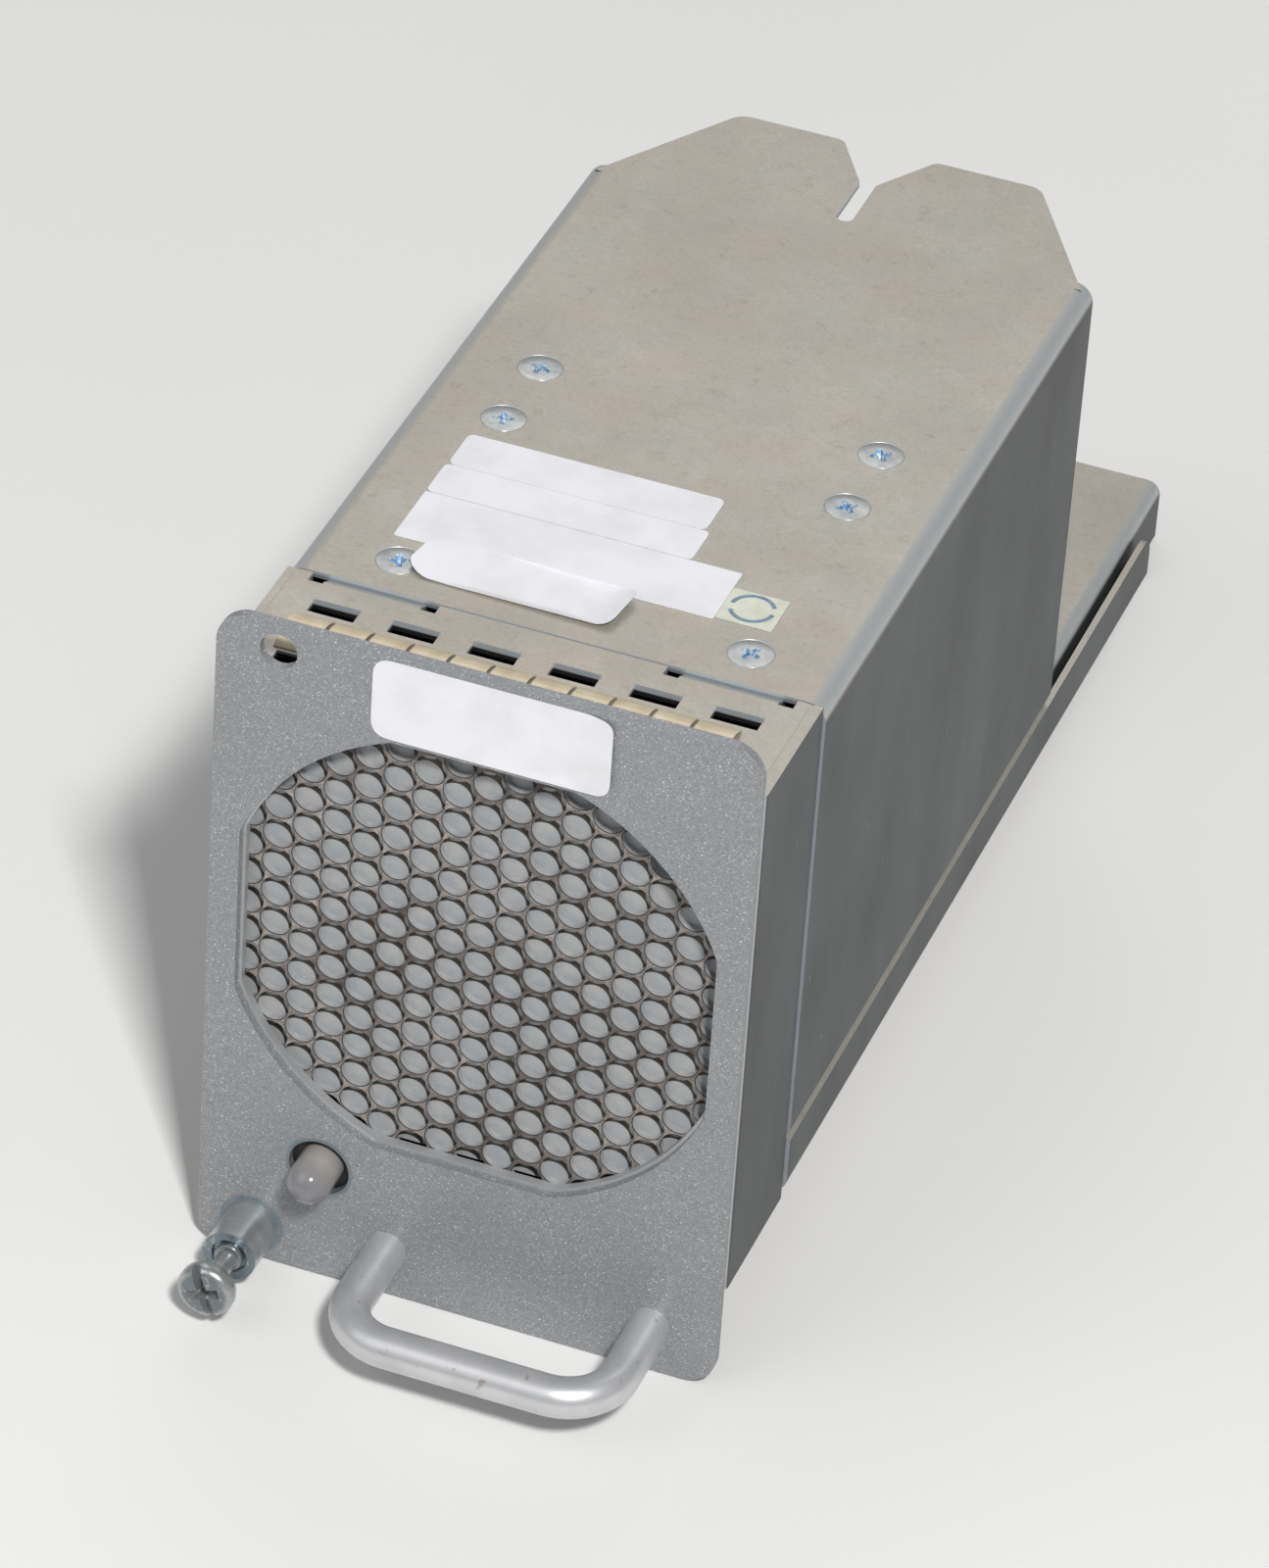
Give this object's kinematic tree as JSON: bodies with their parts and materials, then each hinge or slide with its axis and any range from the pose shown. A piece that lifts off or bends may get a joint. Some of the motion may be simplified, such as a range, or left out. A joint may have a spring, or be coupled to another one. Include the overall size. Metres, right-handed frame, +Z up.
{
  "type": "hot-swap fan tray",
  "caption": "Hot-swap fan tray: painted front panel with a round grilled air opening, handle and captive screw, a folded steel duct with axial fans, and a rear blind-mating socket.",
  "frame": {"origin": "bottom centre of the overall box: below the middle of the length, level with the panel's lower edge", "axes": "+Z up, +Y from the front panel into the chassis, +X to the right seen from the front"},
  "size_m": [0.0636, 0.182, 0.088],
  "materials": {
    "panel_paint": "metallic silver-grey paint with fine sparkle",
    "sheet_steel": "galvanised sheet with a faint spangle",
    "contact_alloy": "thin sprung sheet, satin",
    "grille_steel": "thin perforated sheet, dusty satin",
    "filter_foam": "open-cell foam, light grey",
    "screw_zinc": "zinc plated",
    "handle_steel": "satin plated bar",
    "sleeve_steel": "turned and plated",
    "spring_steel": "drawn wire",
    "led_lens": "milky white dome",
    "black_plastic": "moulded, satin",
    "board_laminate": "solder mask",
    "rotor_plastic": "moulded, satin",
    "motor_steel": "stacked laminations",
    "coil_copper": "enamelled wire",
    "magnet_ferrite": "bonded ferrite",
    "bearing_steel": "ground",
    "rubber": "moulded",
    "wire_sleeve": "soft sleeving",
    "guard_wire": "plated wire",
    "plug_plastic": "glass filled"
  },
  "bodies": {
    "tray": {"front_panel": "panel_paint", "front_bracket": "sheet_steel", "duct_cover": "sheet_steel", "base_tray": "sheet_steel", "base_rivets": "screw_zinc", "connector_cover": "sheet_steel", "contact_strip": "contact_alloy", "vent_grille": "grille_steel", "filter_pad": "filter_foam", "vent_clips": "sheet_steel", "carry_handle": "handle_steel", "handle_screws": "screw_zinc", "captive_sleeve": "sleeve_steel", "captive_spring": "spring_steel", "status_led": "led_lens", "led_holder": "black_plastic", "led_board": "board_laminate", "led_lead": "wire_sleeve", "cover_screws": "screw_zinc", "fan_pads": "rubber", "fan_feet": "rubber", "rear_guard": "guard_wire", "guard_screws": "screw_zinc", "connector_board": "board_laminate", "board_standoffs": "screw_zinc", "board_screws": "screw_zinc", "board_headers": "plug_plastic", "rear_connector": "plug_plastic", "front_fan_frame": "black_plastic", "front_fan_bearings": "bearing_steel", "front_fan_stator": "motor_steel", "front_fan_coils": "coil_copper", "front_fan_driver": "board_laminate", "front_fan_lead": "wire_sleeve", "rear_fan_frame": "black_plastic", "rear_fan_bearings": "bearing_steel", "rear_fan_stator": "motor_steel", "rear_fan_coils": "coil_copper", "rear_fan_driver": "board_laminate", "rear_fan_lead": "wire_sleeve"},
    "captive_ring": {"captive_ring": "sleeve_steel"},
    "captive_screw": {"captive_screw": "screw_zinc"},
    "front_rotor": {"front_fan_rotor": "rotor_plastic", "front_fan_shaft": "bearing_steel", "front_fan_magnet": "magnet_ferrite"},
    "rear_rotor": {"rear_fan_rotor": "rotor_plastic", "rear_fan_shaft": "bearing_steel", "rear_fan_magnet": "magnet_ferrite"}
  },
  "joints": [
    {"name": "captive_screw_press", "type": "slide", "parent": "tray", "child": "captive_ring", "axis": [0, 1, 0], "range_m": [0, 0.0036], "stiffness_N_per_m": 600, "springref_m": -0.0015, "deforming": ["captive_spring"]},
    {"name": "captive_screw_turn", "type": "hinge", "parent": "captive_ring", "child": "captive_screw", "pos_m": [-0.0249, -0.0782, 0.0046], "axis": [0, 1, 0], "continuous": true},
    {"name": "front_fan_spin", "type": "hinge", "parent": "tray", "child": "front_rotor", "pos_m": [0, -0.03045, 0.0484], "axis": [0, 1, 0], "continuous": true},
    {"name": "rear_fan_spin", "type": "hinge", "parent": "tray", "child": "rear_rotor", "pos_m": [0, 0.01255, 0.0484], "axis": [0, 1, 0], "continuous": true}
  ]
}
